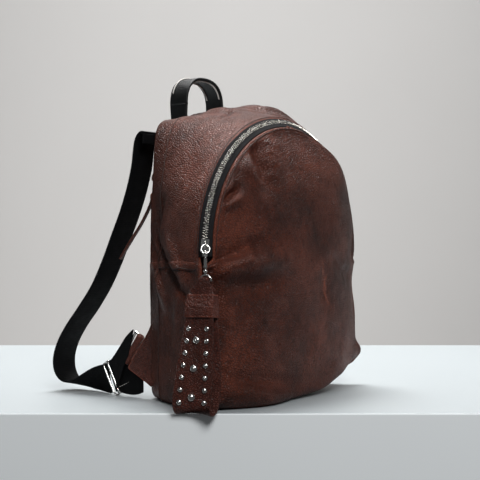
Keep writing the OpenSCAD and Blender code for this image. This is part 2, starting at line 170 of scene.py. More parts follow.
def front_half(z):
    r = ARCH_R - EDGE
    up = np.sqrt(np.maximum(r ** 2 - (z - ARCH_Z) ** 2, 1e-8))
    low = mix(mix(BASE_HALF, 0.1548, np.clip(z / ZIP_END, 0, 1)), r, zip_open(z))
    return np.where(z > ARCH_Z, up, low)


def swell(c, z):
    top = ARCH_Z + ARCH_R - EDGE
    lower = mix(0.62, 1.0, np.sin(np.pi / 2 * np.clip(z / FLAP_Z, 0, 1)))
    upper = np.cos(np.pi / 2 * np.clip((z - FLAP_Z) / (top - FLAP_Z), 0, 1)) ** 0.8
    return SWELL * (1 - np.abs(c) ** 2.4) * np.where(z < FLAP_Z, lower, upper)


def front(c, z):
    c, z = np.broadcast_arrays(np.asarray(c, float), np.asarray(z, float))
    rim = FRONT_Y - EDGE + (EDGE - 0.0015) * (1 - zip_open(z)) * np.abs(c) ** 9
    return np.stack([c * (front_half(z) - tuck(z)), rim - swell(c, z) + tuck(z), z], -1)


def back_half(z):
    high = BACK_HALF * np.maximum(1 - (np.clip(z - ARCH_Z, 0, 1) / (BACK_TOP - ARCH_Z)) ** SHOULDER, 1e-5)
    high = BACK_HALF * (high / BACK_HALF) ** (1 / SHOULDER)
    return np.where(z < ARCH_Z, mix(BACK_BASE_HALF, BACK_HALF, z / ARCH_Z), high)


def back(c, z):
    c, z = np.broadcast_arrays(np.asarray(c, float), np.asarray(z, float))
    rim = mix(SIDE_BACK_Y, BACK_Y, smooth(z, 0.24, 0.335))
    y = mix(BACK_Y + 0.003, rim + 0.001, np.abs(c) ** 4)
    return np.stack([c * (back_half(z) - 0.0008 - tuck(z)), y - tuck(z), z], -1)


# ---------------------------------------------------------------- folds and turned edges
def grid_normals(g):
    return unit(np.cross(np.gradient(g, axis=0), np.gradient(g, axis=1)))


def near_line(p, line):
    """Distance of each point from a line of points, and where along it the nearest place is, 0 to 1."""
    line = np.array(line, float) / 100
    steps = np.linalg.norm(np.diff(line, axis=0), axis=1)
    run = np.concatenate([[0], np.cumsum(steps)]) / steps.sum()
    best = np.full(p.shape[:-1], 9.0)
    along = np.zeros(p.shape[:-1])
    for i in range(len(line) - 1):
        d = line[i + 1] - line[i]
        u = np.clip(((p - line[i]) @ d) / (d @ d), 0, 1)
        away = np.linalg.norm(p - (line[i] + u[..., None] * d), axis=-1)
        nearer = away < best
        best = np.where(nearer, away, best)
        along = np.where(nearer, mix(run[i], run[i + 1], u), along)
    return best, along


def laid_on(g, line):
    """A line of points in cm, drawn on to the surface of a grid."""
    flat = g.reshape(-1, 3)[::7] * 100
    points = at_steps(line, np.linspace(0, len(line) - 1, 4 * len(line) - 3))
    on = [int(np.argmin(((flat - p) ** 2).sum(-1))) for p in points]
    return [flat[k] for i, k in enumerate(on) if i == 0 or k != on[i - 1]]


def fold(g, folds, whole=None):
    """Presses folds into a grid: each is (line of points in cm, height in mm, width in mm)."""
    n = grid_normals(g)
    lift = np.zeros(g.shape[:-1])
    for line, height, width in folds:
        away, along = near_line(g, laid_on(g if whole is None else whole, line))
        fade = np.sin(np.pi * np.clip(mix(0.08, 0.92, along), 0, 1)) ** 0.7
        lift += height / 1000 * fade * np.exp(-(away * 1000 / width) ** 2)
    return g + n * (lift * arch_mask(g))[..., None]


def ripple(g, seed, size, height):
    """Gentle unevenness of soft leather, from a few crossed waves."""
    wave = random.Random(seed)
    n = grid_normals(g)
    lift = np.zeros(g.shape[:-1])
    for _ in range(14):
        k = unit([wave.gauss(0, 1), wave.gauss(0, 1), wave.gauss(0, 1)]) * 2 * np.pi / (size * wave.uniform(0.6, 1.8))
        lift += np.sin(g @ k + wave.uniform(0, 6.3)) * wave.uniform(0.3, 1)
    return g + n * (lift * height / 4 * arch_mask(g))[..., None]


def turned_edge(e, raised=0.0014):
    """Height of a turned and stitched edge, at distance e from it."""
    band = raised * (1 - smooth(e, 0.006, 0.0105))
    return band - 0.0018 * np.clip(1 - e / 0.0022, 0, 1) ** 2


# ---------------------------------------------------------------- materials
class Nodes:
    """Short words for building a node material."""

    def __init__(self, name):
        self.material = bpy.data.materials.new(name)
        self.material.use_nodes = True
        self.tree = self.material.node_tree
        self.shader = self.tree.nodes["Principled BSDF"]
        self.where = self.node("ShaderNodeTexCoord").outputs["Object"]

    def node(self, kind, **inputs):
        made = self.tree.nodes.new(kind)
        for key, value in inputs.items():
            self.put(made, key.replace("_", " "), value)
        return made

    def put(self, made, key, value):
        if isinstance(value, bpy.types.NodeSocket):
            self.tree.links.new(value, made.inputs[key])
        else:
            made.inputs[key].default_value = value

    def noise(self, scale, detail=4, rough=0.55, distort=0.0, where=None):
        made = self.node("ShaderNodeTexNoise", Scale=scale, Detail=detail, Roughness=rough, Distortion=distort,
                         Vector=where or self.where)
        return made.outputs["Fac"]

    def stretch(self, scale, turn=(0, 0, 0)):
        return self.node("ShaderNodeMapping", Vector=self.where, Scale=scale, Rotation=turn).outputs[0]

    def cells(self, scale, where=None):
        made = self.node("ShaderNodeTexVoronoi", Scale=scale, Vector=where or self.where)
        made.feature = "DISTANCE_TO_EDGE"
        return made.outputs["Distance"]

    def ramp(self, fac, stops):
        made = self.node("ShaderNodeValToRGB", Fac=fac)
        ramp = made.color_ramp
        while len(ramp.elements) < len(stops):
            ramp.elements.new(0.5)
        for element, (at, colour) in zip(ramp.elements, stops):
            element.position = at
            element.color = (*colour, 1)
        return made.outputs["Color"]

    def span(self, fac, lo, hi, out_lo, out_hi):
        made = self.node("ShaderNodeMapRange", Value=fac)
        for key, value in (("From Min", lo), ("From Max", hi), ("To Min", out_lo), ("To Max", out_hi)):
            made.inputs[key].default_value = value
        return made.outputs[0]

    def math(self, kind, a, b):
        made = self.tree.nodes.new("ShaderNodeMath")
        made.operation = kind
        self.put(made, 0, a)
        self.put(made, 1, b)
        return made.outputs[0]

    def blend(self, fac, a, b):
        """Colour a, b or a mix of both. Their sockets are the seventh and the eighth of the node."""
        made = self.tree.nodes.new("ShaderNodeMix")
        made.data_type = "RGBA"
        for socket, value in ((0, fac), (6, a), (7, b)):
            self.put(made, socket, (*value, 1) if isinstance(value, tuple) else value)
        return made.outputs[2]

    def attribute(self, name):
        made = self.tree.nodes.new("ShaderNodeAttribute")
        made.attribute_name = name
        return made.outputs["Fac"]

    def bump(self, height, strength, distance, before=None):
        made = self.node("ShaderNodeBump", Height=height, Strength=strength, Distance=distance)
        if before is not None:
            self.tree.links.new(before, made.inputs["Normal"])
        return made.outputs[0]

    def finish(self, **inputs):
        for key, value in inputs.items():
            self.put(self.shader, key.replace("_", " "), value)
        return self.material


def leather_material(name, dark, mid, light, worn):
    """Pebbled, waxed leather: mottled colour, fine grain, creases and rubbed edges."""
    m = Nodes(name)
    clouds = m.noise(13, 5, 0.62, 0.6)
    fine = m.noise(70, 5, 0.65, 0.4)
    patina = m.math("ADD", m.math("MULTIPLY", clouds, 0.68), m.math("MULTIPLY", fine, 0.32))
    colour = m.ramp(patina, [(0.36, dark), (0.50, mid), (0.66, light)])
    pebble = m.cells(330, m.stretch((1, 1, 1.25)))
    grain = m.span(pebble, 0.0, 0.20, 0.0, 1.0)
    streaks = m.noise(150, 4, 0.7, 1.2, m.stretch((1.0, 1.0, 0.45), (0.3, 0.2, 0.5)))
    colour = m.blend(m.span(grain, 0, 0.8, 0.72, 0.0), colour, tuple(v * 0.45 for v in dark))
    rubbed = m.math("MULTIPLY", m.attribute("wear"), m.span(m.noise(160, 4), 0.35, 0.62, 0.35, 1.0))
    colour = m.blend(rubbed, colour, worn)
    height = m.math("ADD", m.math("MULTIPLY", grain, 0.6), m.math("MULTIPLY", streaks, 0.7))
    coarse = m.bump(m.noise(120, 5, 0.66, 0.8), 0.55, 0.0016)
    normal = m.bump(height, 0.85, 0.0013, coarse)
    rough = m.span(m.math("ADD", fine, m.math("MULTIPLY", grain, 0.25)), 0.3, 1.0, 0.52, 0.36)
    m.shader.inputs["Specular IOR Level"].default_value = 0.23
    return m.finish(Base_Color=colour, Roughness=rough, Normal=normal)


def black_leather_material():
    m = Nodes("black_leather")
    colour = m.ramp(m.noise(60, 4), [(0.3, (0.0030, 0.0033, 0.0036)), (0.7, (0.008, 0.0085, 0.009))])
    grain = m.span(m.cells(900), 0, 0.2, 0, 1)
    rough = m.span(m.noise(90, 3), 0.3, 0.7, 0.38, 0.52)
    m.shader.inputs["Specular IOR Level"].default_value = 0.3
    return m.finish(Base_Color=colour, Roughness=rough, Normal=m.bump(grain, 0.35, 0.0003))


def weave_material(name, dark, light, across, rough=0.7, strength=0.5):
    """Woven cloth or webbing: crossed threads, across of them to the metre."""
    m = Nodes(name)
    waves = []
    for direction in ("X", "Z"):
        made = m.node("ShaderNodeTexWave", Scale=across / 6.28, Distortion=0.6, Detail=1.0, Vector=m.where)
        made.bands_direction = direction
        waves.append(made.outputs["Fac"])
    weave = m.math("MULTIPLY", waves[0], waves[1])
    colour = m.blend(m.span(m.math("ADD", weave, m.noise(40, 3)), 0.2, 1.3, 0, 1), dark, light)
    m.shader.inputs["Specular IOR Level"].default_value = 0.1
    return m.finish(Base_Color=colour, Roughness=m.span(m.noise(120, 2), 0.3, 0.7, rough - 0.08, rough + 0.06),
                    Normal=m.bump(weave, strength, 0.0004))


def metal_material(name, colour, rough):
    m = Nodes(name)
    smudge = m.noise(240, 3)
    m.shader.inputs["Metallic"].default_value = 1.0
    tint = m.ramp(smudge, [(0.3, tuple(v * 0.86 for v in colour)), (0.65, colour)])
    return m.finish(Base_Color=tint, Roughness=m.span(smudge, 0.3, 0.7, rough * 0.8, rough * 1.5),
                    Normal=m.bump(m.noise(900, 2), 0.06, 0.0001))


def thread_material(name, colour):
    m = Nodes(name)
    twist = m.node("ShaderNodeTexWave", Scale=420.0, Vector=m.where)
    twist.bands_direction = "DIAGONAL"
    tint = m.ramp(m.noise(500, 2), [(0.3, tuple(v * 0.7 for v in colour)), (0.7, colour)])
    return m.finish(Base_Color=tint, Roughness=m.span(m.noise(300, 2), 0, 1, 0.5, 0.7),
                    Normal=m.bump(twist.outputs["Fac"], 0.4, 0.0003))


LEATHER = leather_material("leather", (0.030, 0.0082, 0.0046), (0.088, 0.0220, 0.0122), (0.176, 0.047, 0.027),
                           (0.30, 0.078, 0.042))
FOB_LEATHER = leather_material("fob_leather", (0.036, 0.0110, 0.0078), (0.078, 0.0215, 0.0145), (0.125, 0.036, 0.025),
                               (0.24, 0.066, 0.042))
BLACK = black_leather_material()
WEBBING = weave_material("webbing", (0.0016, 0.0017, 0.0020), (0.0044, 0.0047, 0.0052), 900, 0.72, 0.3)
TAPE = weave_material("zip_tape", (0.005, 0.005, 0.006), (0.020, 0.019, 0.020), 1500, 0.75, 0.5)
LINING = weave_material("lining", (0.022, 0.017, 0.018), (0.060, 0.050, 0.052), 1100, 0.8, 0.4)
NICKEL = metal_material("nickel", (0.80, 0.79, 0.77), 0.15)
TEETH = metal_material("teeth", (0.70, 0.67, 0.62), 0.22)
WHITE_THREAD = thread_material("white_thread", (0.72, 0.70, 0.66))
BROWN_THREAD = thread_material("brown_thread", (0.040, 0.017, 0.013))
BOARD = weave_material("board", (0.12, 0.09, 0.06), (0.22, 0.17, 0.12), 400, 0.85, 0.3)


# ---------------------------------------------------------------- piece builders
def add_object(name, data):
    made = bpy.data.objects.new(name, data)
    bpy.context.collection.objects.link(made)
    return made


def piece(name, verts, faces, material, body=None, wear=None):
    mesh = bpy.data.meshes.new(name)
    mesh.from_pydata([tuple(v) for v in verts], [], faces)
    mesh.update()
    mesh.polygons.foreach_set("use_smooth", [True] * len(mesh.polygons))
    mesh.materials.append(material)
    attribute = mesh.attributes.new("wear", "FLOAT", "POINT")
    attribute.data.foreach_set("value", np.zeros(len(verts)) if wear is None else np.asarray(wear, float).ravel())
    made = add_object(name, mesh)
    if body:
        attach(made, body)
    return made


def grid_faces(rows, cols, start=0, close=False):
    faces = []
    for r in range(rows - 1):
        for c in range(cols if close else cols - 1):
            a = start + r * cols + c
            b = start + r * cols + (c + 1) % cols
            faces.append((a, a + cols, b + cols, b))
    return faces


def thicken(made, thickness):
    solid = made.modifiers.new("thickness", "SOLIDIFY")
    solid.thickness = thickness
    solid.offset = -1
    solid.use_even_offset = False


def panel(name, g, material, body=None, thickness=HIDE, wear=None):
    """A sheet over a grid of points, with thickness on its inner side."""
    made = piece(name, g.reshape(-1, 3), grid_faces(*g.shape[:2]), material, None, wear)
    thicken(made, thickness)
    if body:
        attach(made, body)
    return made


def rounded_section(width, height, corner=0.42, steps=3):
    """Outline of a strap's cross section, a rectangle with round corners."""
    r = height * corner
    points = []
    for cx, cy, start in ((1, 1, 0), (-1, 1, 90), (-1, -1, 180), (1, -1, 270)):
        for k in range(steps + 1):
            a = math.radians(start + 90 * k / steps)
            points.append((cx * (width / 2 - r) + r * math.cos(a), cy * (height / 2 - r) + r * math.sin(a)))
    return points


def sweep(stations, sections, closed_ends=True):
    """Vertices and faces of a section swept along stations of (centre, width direction, thickness direction)."""
    verts, faces = [], []
    for (centre, wide, thick), section in zip(stations, sections):
        verts += [np.array(centre) + np.array(wide) * u + np.array(thick) * v for u, v in section]
    cols = len(sections[0])
    for r in range(len(stations) - 1):
        for c in range(cols):
            d = (c + 1) % cols
            faces.append((r * cols + c, r * cols + d, (r + 1) * cols + d, (r + 1) * cols + c))
    if closed_ends:
        faces.append(tuple(range(cols - 1, -1, -1)))
        faces.append(tuple((len(stations) - 1) * cols + c for c in range(cols)))
    return verts, faces


def smooth_path(points, steps):
    """A smooth curve through points of any number of values."""
    p = np.array(points, float)
    out = []
    for i in range(len(p) - 1):
        a, b, c, d = p[max(i - 1, 0)], p[i], p[i + 1], p[min(i + 2, len(p) - 1)]
        for k in range(steps):
            t = k / steps
            out.append(0.5 * (2 * b + (c - a) * t + (2 * a - 5 * b + 4 * c - d) * t * t
                              + (3 * b - a - 3 * c + d) * t ** 3))
    out.append(p[-1])
    return np.array(out)


def frames_along(path, wides):
    """Stations along a path, whose width directions are given for each point or once for all."""
    tangent = unit(np.gradient(path, axis=0))
    wide = unit(wides - (wides * tangent).sum(-1, keepdims=True) * tangent)
    return [(path[i], wide[i], np.cross(tangent[i], wide[i])) for i in range(len(path))]


def merged(name, parts, material, body):
    verts, faces = [], []
    for v, f in parts:
        base = len(verts)
        verts += [tuple(p) for p in v]
        faces += [tuple(i + base for i in face) for face in f]
    return piece(name, verts, faces, material, body)


def resample(path, step):
    """Points at even distances along a path, and the path's directions there."""
    steps = np.linalg.norm(np.diff(path, axis=0), axis=1)
    run = np.concatenate([[0], np.cumsum(steps)])
    at = np.arange(step / 2, run[-1], step)
    points = np.stack([np.interp(at, run, path[:, k]) for k in range(path.shape[1])], -1)
    return points, at / run[-1]


def stitches(name, path, normals, material, body, step=0.0042, length=0.0031, radius=0.00042):
    """A row of thread stitches lying on a surface, each a small arched bead."""
    both, _ = resample(np.concatenate([path, normals], axis=1), step)
    points, ups = both[:, :3], unit(both[:, 3:])
    along = unit(np.gradient(points, axis=0))
    parts = []
    for p, up, t in zip(points, ups, along):
        side = np.cross(up, t)
        stations, sections = [], []
        for u in np.linspace(-1, 1, 7):
            centre = p + t * u * length / 2 + up * radius * (0.9 * math.cos(u * 1.5) + 0.05)
            size = radius * (0.35 + 0.65 * math.cos(u * 1.35))
            stations.append((centre, side, up))
            sections.append(circle(size, 6))
        parts.append(sweep(stations, sections))
    return merged(name, parts, material, body)


def grid_at(g, rows, cols):
    """Points and normals of a grid along lists of fractional rows and columns."""
    n = grid_normals(g)
    r = np.clip(np.asarray(rows, float), 0, g.shape[0] - 1)
    c = np.clip(np.asarray(cols, float), 0, g.shape[1] - 1)
    r, c = np.broadcast_arrays(r, c)
    r0, c0 = np.floor(r).astype(int), np.floor(c).astype(int)
    r1, c1 = np.minimum(r0 + 1, g.shape[0] - 1), np.minimum(c0 + 1, g.shape[1] - 1)
    fr, fc = (r - r0)[:, None], (c - c0)[:, None]

    def pick(a):
        return mix(mix(a[r0, c0], a[r1, c0], fr), mix(a[r0, c1], a[r1, c1], fr), fc)
    return pick(g), unit(pick(n))


def rim_distance(g, edges):
    """Distance of every point of a grid from the named edges of the grid."""
    sides = {"first_row": g[0], "last_row": g[-1], "first_col": g[:, 0], "last_col": g[:, -1]}
    best = np.full(g.shape[:-1], 9.0)
    for edge in edges:
        line = sides[edge]
        line = line[np.linspace(0, len(line) - 1, 70).astype(int)]
        best = np.minimum(best, near_line(g, line * 100)[0])
    return best


def finish_panel(g, edges, folds=(), seed=1, uneven=0.0008, raised=0.0014, whole=None):
    """Sculpts a panel's grid, presses its folds and turns its stitched edges; returns the grid and its wear."""
    start = sculpt(g)
    free = smooth(rim_distance(start, [edge for edge in edges if edge.endswith("col")]), 0.001, 0.010)
    g = mix(start, fold(ripple(start, seed, 0.060, uneven), folds, whole), free[..., None])
    e = rim_distance(g, edges)
    g = g + grid_normals(g) * turned_edge(e, raised)[..., None]
    return g, np.clip(1 - e / 0.0032, 0, 1) * 0.55


# ---------------------------------------------------------------- body panels
FRONT_FOLDS = [
    ([(-14.9, -6.6, 15.9), (-13.5, -7.3, 16.3), (-11.4, -8.2, 17.1), (-8.5, -9.0, 18.3)], -7.2, 8.05),
    ([(-14.6, -6.8, 14.9), (-12.6, -7.7, 15.4), (-10.1, -8.6, 15.8), (-5.4, -9.3, 16.0)], 11.4, 12.6),
    ([(-14.9, -6.7, 16.0), (-14.6, -6.9, 13.7), (-14.2, -7.0, 11.5)], -11.4, 10.3),
    ([(-12.8, -7.4, 13.4), (-9.4, -8.6, 13.2), (-5.8, -9.2, 13.8)], -7.5, 11.5),
    ([(-13.5, -6.8, 22.6), (-13.0, -7.0, 22.7), (-12.1, -7.3, 23.2), (-10.8, -7.7, 24.1)], -5.6, 3.68),
    ([(-13.6, -6.9, 21.7), (-12.2, -7.5, 22.2), (-10.8, -7.8, 23.0)], 4.9, 5.17),
    ([(-13.4, -6.8, 24.0), (-12.4, -7.2, 24.2), (-11.4, -7.4, 25.2)], 4.0, 5.75),
    ([(-7.5, -6.9, 29.8), (-7.1, -8.0, 27.2), (-7.0, -8.7, 24.0)], -5.6, 8.05),
    ([(-9.4, -6.9, 28.4), (-8.9, -7.7, 26.5), (-8.8, -8.2, 24.5)], 4.5, 9.2),
    ([(-5.2, -6.9, 30.6), (-5.0, -8.0, 28.4), (-5.2, -8.8, 26.0)], 3.5, 9.2),
    ([(-14.6, -7.2, 2.8), (-10.2, -8.6, 1.5), (-3.6, -8.7, 0.9)], 6.6, 9.2),
    ([(-14.8, -7.1, 4.4), (-10.2, -8.7, 3.0), (-3.6, -9.0, 2.6)], -4.0, 8.05),
    ([(2.3, -9.6, 15.6), (4.4, -9.2, 10.8)], -2.3, 10.3),
    ([(-1.3, -9.2, 8.2), (5.9, -8.6, 4.7), (9.8, -7.8, 2.6)], 4.0, 13.8),
    ([(-9.2, -8.6, 11.9), (-8.0, -8.7, 8.5), (-8.1, -8.7, 5.1)], 3.0, 16.1),
    ([(12.0, -7.3, 14.2), (8.5, -8.4, 14.8), (4.5, -9.1, 16.5)], -4.5, 10.3),
]
SIDE_FOLDS = [
    ([(-12.3, 1.8, 22.9), (-11.9, 3.3, 18.4), (-13.2, 0.6, 15.4), (-14.4, -2.5, 13.0), (-15.2, -5.3, 10.9)], -6.0, 6.3),
    ([(-12.9, 0.0, 18.6), (-13.9, -2.0, 15.8), (-14.9, -4.2, 13.6)], 4.5, 8.4),
    ([(-11.1, 4.8, 17.9), (-12.2, 2.6, 15.3), (-13.1, 0.8, 12.8)], -3.9, 5.25),
    ([(-11.6, 3.6, 15.6), (-12.6, 1.6, 13.0), (-13.4, 0.0, 10.8)], 5.1, 9.45),
    ([(-13.8, -0.8, 11.8), (-13.3, 0.2, 8.4), (-13.5, -0.3, 5.1)], -2.7, 8.4),
    ([(-15.0, -4.4, 11.9), (-15.3, -5.5, 8.7), (-15.4, -5.9, 5.5)], -2.4, 7.35),
    ([(-14.8, -3.7, 15.1), (-14.2, -2.1, 11.8), (-14.1, -1.7, 8.5)], 2.7, 7.35),
    ([(-10.3, -1.2, 29.6), (-12.3, -2.1, 26.7), (-13.6, -2.6, 23.8)], -1.4, 9.45),
    ([(-6.8, -2.4, 32.6), (-3.9, -0.6, 33.6), (-0.8, 1.3, 34.3)], -3.9, 5.25),
    ([(0.6, 1.5, 34.6), (2.2, -1.6, 34.2), (6.5, -3.6, 33.0)], 4.5, 6.3),
    ([(-1.6, -1.0, 33.6), (1.4, -3.4, 33.2), (5.0, -4.8, 32.6)], -3.4, 6.3),
    ([(13.6, 1.8, 20.9), (14.2, -1.3, 17.4), (14.9, -3.6, 14.4)], -3.8, 7.35),
    ([(12.5, 3.2, 13.9), (13.9, -0.3, 10.4), (14.5, -2.6, 6.4)], 3.0, 9.45),
]
BACK_FOLDS = [
    ([(-9.5, 6.0, 20.0), (-4.0, 6.5, 18.0), (3.0, 6.5, 17.6)], -1.2, 10),
    ([(9.0, 6.0, 9.0), (3.0, 6.5, 7.0), (-3.0, 6.5, 7.6)], 1.2, 12),
]

front_z = np.concatenate([np.linspace(0, ARCH_Z, 210)[:-1],
                          ARCH_Z + (ARCH_R - EDGE) * np.sin(np.linspace(0, np.pi / 2 * 0.992, 170))])
front_c = np.sin(np.linspace(1, -1, 230) * 1.35) / np.sin(1.35)
front_grid, front_wear = finish_panel(front(front_c[None, :], front_z[:, None]),
                                      ["first_col", "last_col", "last_row"], FRONT_FOLDS, 3, 0.0015, 0.0007)
for line in ([(2.2, -9.6, 15.8), (2.9, -9.5, 13.4)], [(2.9, -9.5, 14.8), (4.5, -9.2, 10.7)],
             [(3.5, -9.4, 14.2), (4.0, -9.3, 12.4)]):
    away, along = near_line(front_grid, laid_on(front_grid, line))
    rub = 0.9 * np.exp(-(away / 0.0017) ** 2) * np.sin(np.pi * mix(0.05, 0.95, along)) ** 0.5
    front_wear = np.maximum(front_wear, rub)
front_panel = panel("front_panel", front_grid, LEATHER, None, HIDE, front_wear)
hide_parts("front_flap", "front_lower")
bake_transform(front_panel)



def side_grid(s0, s1, rows, cols=110, t0=0.0, t1=1.0):
    return gusset(np.linspace(s0, s1, rows)[:, None], np.linspace(t0, t1, cols)[None, :])


def strip_step(g, seam_t=0.80, deep=0.0016):
    """The back strip lies a step lower than the rest of the side, behind an upright seam."""
    t = np.linspace(0, 1, g.shape[1])[None, :]
    away = (t - seam_t) * 0.124
    lift = deep * (1 - smooth(away, -0.0006, 0.0016)) - deep * 0.35 * np.exp(-((away - 0.0016) / 0.0012) ** 2)
    lift = lift * np.clip(1 - t, 0.0, 0.2) / 0.2
    return g + grid_normals(g) * (lift * np.ones(g.shape[:-1]) * arch_mask(g))[..., None]


side_whole = sculpt(side_grid(0.0, 1.0, 700))


def make_side(name, s0, s1, edges, node, rows, raised=0.0014, lift=0.0):
    g, wear = finish_panel(side_grid(s0, s1, rows), edges, SIDE_FOLDS, 5, 0.0009, raised, side_whole)
    g = strip_step(g)
    z = g[..., 2]
    g = g + grid_normals(g) * (lift * smooth(z, SEAM_Z - 0.020, SEAM_Z - 0.006) * arch_mask(g))[..., None]
    made = panel(name, g, LEATHER, "bag", HIDE, wear)
    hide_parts(node)
    return g


lap_s = 0.3 * 0.008 / ARCH_Z
gusset_g = make_side("gusset_panel", SIDE_TOP_S - lap_s, 1 - SIDE_TOP_S + lap_s, ["first_col"], "gusset", 580, 0.0010)
left_g = make_side("side_panel_left", 0.0, SIDE_TOP_S, ["last_row", "first_col"], "side_left", 200, 0.0007, 0.0003)
right_g = make_side("side_panel_right", 1 - SIDE_TOP_S, 1.0, ["first_row", "first_col"], "side_right", 200, 0.0006)

back_z = mix(0, YOKE_Z - 0.0065, np.linspace(0, 1, 130))
yoke_z = YOKE_Z + 0.0065 + (BACK_TOP - 0.0006 - YOKE_Z - 0.0065) * np.sin(np.linspace(0, np.pi / 2, 90))
back_c = np.linspace(-1, 1, 120)
back_grid, back_wear = finish_panel(back(back_c[None, :], back_z[:, None]), ["last_row"], BACK_FOLDS, 8)
back_panel = panel("back_panel", back_grid, LEATHER, "bag", HIDE, back_wear)
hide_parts("back_lower")
yoke_grid, yoke_wear = finish_panel(back(back_c[None, :], yoke_z[:, None]), ["first_row"], (), 9)
yoke = panel("yoke_panel", yoke_grid, LEATHER, "bag", HIDE, yoke_wear)
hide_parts("back_yoke")

# The base hangs between the lower rims of the front and the back
u = np.linspace(0, 1, 40)[None, :, None]
rim_front = front_grid[0][::-1][:, None, :]
rim_back = at_steps(back_grid[0], np.linspace(0, len(back_grid[0]) - 1, len(rim_front)))[:, None, :]
base_grid = mix(rim_back, rim_front, u)
base_grid[..., 2] += 0.0006
bottom = panel("base_leather", base_grid, LEATHER, "bag", 0.0018)
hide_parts("base_panel")


# ---------------------------------------------------------------- linings, board and pockets
def inner(name, g, node, body, depth=0.0034, material=LINING, thickness=0.0006):
    g = g - grid_normals(g) * depth
    made = panel(name, g, material, body, thickness)
    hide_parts(node)
    return made


def trim(g, r0, r1, c0, c1, step=4):
    return g[r0:len(g) - r1:step, c0:g.shape[1] - c1:step]


flap_row = int(np.searchsorted(front_z, FLAP_Z + 0.003))
inner("lining_flap", trim(front_grid, flap_row, 14, 12, 12), "flap_lining", "flap")
inner("lining_front", trim(front_grid[:flap_row - 6], 10, 0, 12, 12), "front_lining", "bag")
inner("lining_gusset", np.concatenate(
    [trim(left_g, 10, 4, 8, 8), trim(gusset_g, 4, 4, 8, 8), trim(right_g, 4, 10, 8, 8)]),
      "gusset_lining", "bag", 0.0042)
lining_z = np.linspace(0.010, BACK_TOP - 0.022, 60)
inner("lining_back", sculpt(back(np.linspace(-0.96, 0.96, 40)[None, :], lining_z[:, None])),
      "back_lining", "bag", 0.0072)


def pocket(name, x, depth, z0, z1, node, material, sag):
    c, h = np.meshgrid(np.linspace(1, -1, 40), np.linspace(0, 1, 30))
    g = back(c * x / BACK_HALF, mix(z0, z1, h))
    g[..., 1] -= depth + sag * (1 - c ** 2) * np.sin(np.pi * h)
    g = ripple(g, 4, 0.05, 0.0005)
    made = panel(name, g, material, "bag", 0.0012)
    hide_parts(node)


pocket("pocket_inside", 0.080, 0.0097, 0.130, 0.225, "inner_pocket", LINING, 0.0010)
pocket("pocket_bag", 0.084, 0.0044, 0.096, 0.236, "back_pocket_bag", LINING, 0.0006)
c, h = np.meshgrid(np.linspace(1, -1, 60), np.linspace(0, 1, 50))
board_grid = np.stack([c * mix(0.136, 0.098, h), mix(-0.055, 0.050, h),
                       0.0030 + 0.004 * smooth(c * 0.136, 0.06, 0.16)], -1)
board_grid = mix(board_grid, sculpt(board_grid) + np.array([0, 0, 0.001]), 0.97)
board = panel("stiffener_board", board_grid[:, ::-1], BOARD, "bag", 0.0014)
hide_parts("base_board")


# ---------------------------------------------------------------- the main zip
def arch(deg, across, out):
    """A point of the zip: degrees from the left end over the top, across the chain and out of its face."""
    a = np.radians(deg)
    k = math.sqrt(0.5)
    r = ARCH_R + k * (across + out)
    return np.stack([-r * np.cos(a), FRONT_Y + k * (across - out) + 0 * a, ARCH_Z + r * np.sin(a)], -1)


def tape(name, d0, d1, nodes, blended=False):
    deg = np.linspace(-3, 183, 260)[:, None]
    d = np.linspace(d0, d1, 9)[None, :]
    g = arch(deg + 0 * d, d + 0 * deg, -0.0009 + 0 * deg + 0 * d)
    made = panel(name, g[:, ::-1], TAPE, None if blended else "bag", 0.0007)
    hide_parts(*nodes)
    if blended:
        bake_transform(made)


tape("zip_tape_gusset_side", 0.0024, 0.0068, ["zip_tape_outer"])
tape("zip_tape_front_side", -0.0084, -0.0024, ["zip_tape_flap", "zip_tape_ends"], True)


# Distance from the middle of the chain in metres, then half width and half height in mm, from foot to head
TOOTH = [(0.0030, 0.24, 0.5), (0.0027, 0.34, 0.6), (0.0016, 0.26, 0.6), (0.0005, 0.24, 0.5), (-0.0001, 0.32, 0.5),
         (-0.0005, 0.22, 0.3)]
BACK_TOOTH = [(-0.0015, 0.45, 0.7), (-0.0010, 0.62, 1.0), (0.0002, 0.55, 1.15), (0.0016, 0.66, 1.15),
              (0.0019, 0.5, 0.9)]


def chamfered(k):
    """Square section with cut corners."""
    return [(1, k), (k, 1), (-k, 1), (-1, k), (-1, -k), (-k, -1), (k, -1), (1, -k)]


def tooth(deg, side):
    """A cast zip tooth: a foot on the tape that narrows to a rounded head past the middle."""
    axis = unit(arch(np.array(deg + 0.3), 0.0, 0.0) - arch(np.array(deg - 0.3), 0.0, 0.0))
    origin = arch(np.array(deg), 0.0, 0.0)
    wide = unit(arch(np.array(deg), 0.001, 0.0) - origin) * side
    up = unit(arch(np.array(deg), 0.0, 0.001) - origin)
    stations = [(origin + wide * d, axis * half / 1000, up * high / 1000) for d, half, high in TOOTH]
    verts, faces = sweep(stations, [chamfered(0.55)] * len(TOOTH))
    return verts, faces if side < 0 else flip(faces)


PITCH = 186 / 176
outer_teeth = merged("zip_teeth_gusset_side", [tooth(-3 + PITCH * (k + 0.3), 1) for k in range(176)],
                     TEETH, "bag")
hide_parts("zip_teeth_outer")
inner_teeth = merged("zip_teeth_front_side", [tooth(-3 + PITCH * (k + 0.8), -1) for k in range(175)],
                     TEETH, None)
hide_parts("zip_teeth_flap", "zip_teeth_ends")
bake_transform(inner_teeth)

